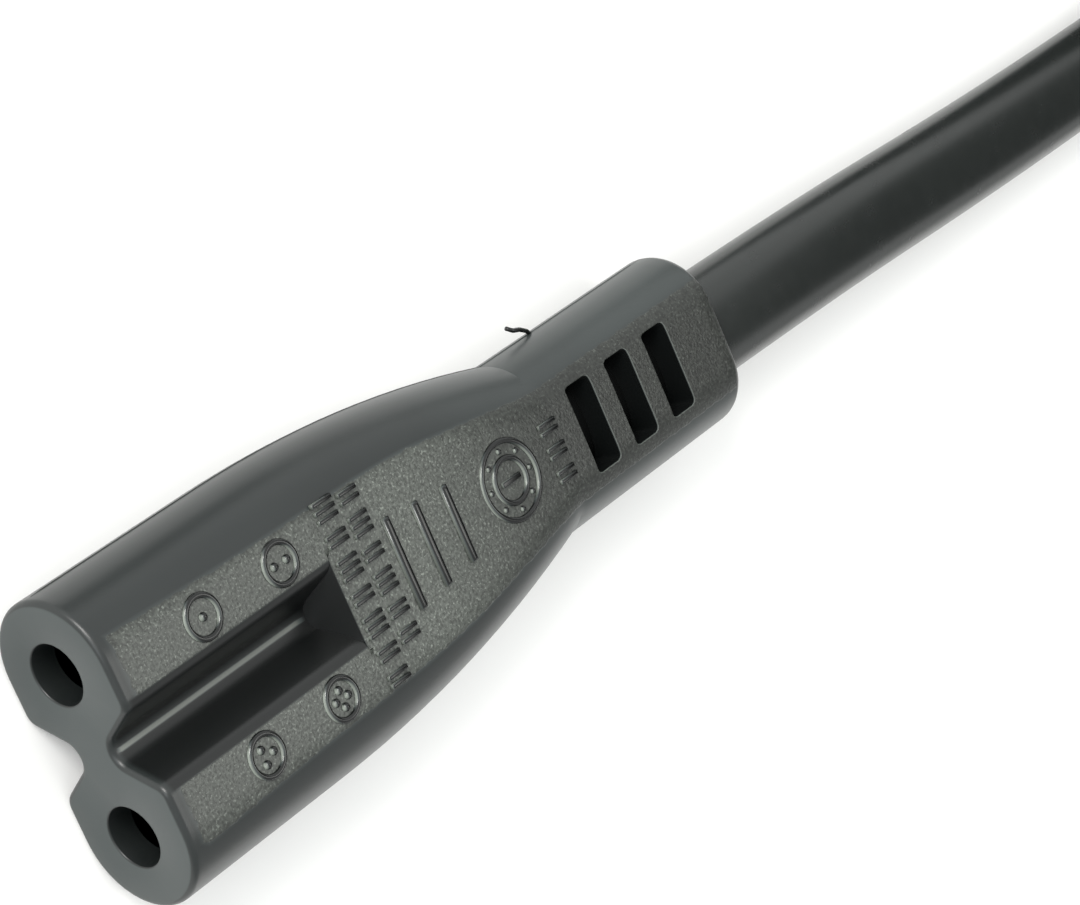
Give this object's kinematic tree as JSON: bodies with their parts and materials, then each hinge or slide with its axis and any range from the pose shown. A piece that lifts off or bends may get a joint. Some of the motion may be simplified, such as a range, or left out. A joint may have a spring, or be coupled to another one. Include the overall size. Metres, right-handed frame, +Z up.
{
  "type": "figure eight power connector",
  "caption": "Moulded figure-eight mains connector with a grooved nose, arched taper and slotted strain relief on a flat cord that lies coiled and tied and ends in a slim round-pin plug.",
  "frame": {"origin": "on the table under the middle of the connector's length and width", "axes": "+X from the mating face towards the cord, +Y from the right hole to the left hole, +Z up"},
  "size_m": [0.1808, 0.0848, 0.0167],
  "materials": {
    "connector_pvc": "soft dark grey moulding, fine eroded grain on the flats",
    "carrier_plastic": "stiff dark moulding",
    "contact_bronze": "rolled spring metal, lightly tarnished",
    "core_brown": "extruded insulation",
    "core_blue": "extruded insulation",
    "strand_copper": "bare twisted strands",
    "cord_pvc": "smooth extruded dark grey sheath",
    "tie_plastic": "flat dark band",
    "plug_pvc": "soft dark grey moulding",
    "bridge_plastic": "stiff dark moulding",
    "pin_metal": "nickel-plated, satin",
    "sleeve_plastic": "smooth dark sleeve"
  },
  "bodies": {
    "root": {"connector_body": "connector_pvc", "contact_carrier": "carrier_plastic", "contact_left": "contact_bronze", "contact_right": "contact_bronze", "connector_core_left": "core_brown", "connector_core_right": "core_blue", "connector_strands_left": "strand_copper", "connector_strands_right": "strand_copper", "cord_tail": "cord_pvc", "cord_coil": "cord_pvc", "coil_tie_near": "tie_plastic", "coil_tie_far": "tie_plastic", "cord_plug_end": "cord_pvc", "plug_body": "plug_pvc", "plug_bridge": "bridge_plastic", "plug_pin_left": "pin_metal", "plug_pin_right": "pin_metal", "pin_sleeve_left": "sleeve_plastic", "pin_sleeve_right": "sleeve_plastic", "plug_core_left": "core_brown", "plug_core_right": "core_blue", "plug_strands_left": "strand_copper", "plug_strands_right": "strand_copper"}
  },
  "joints": []
}
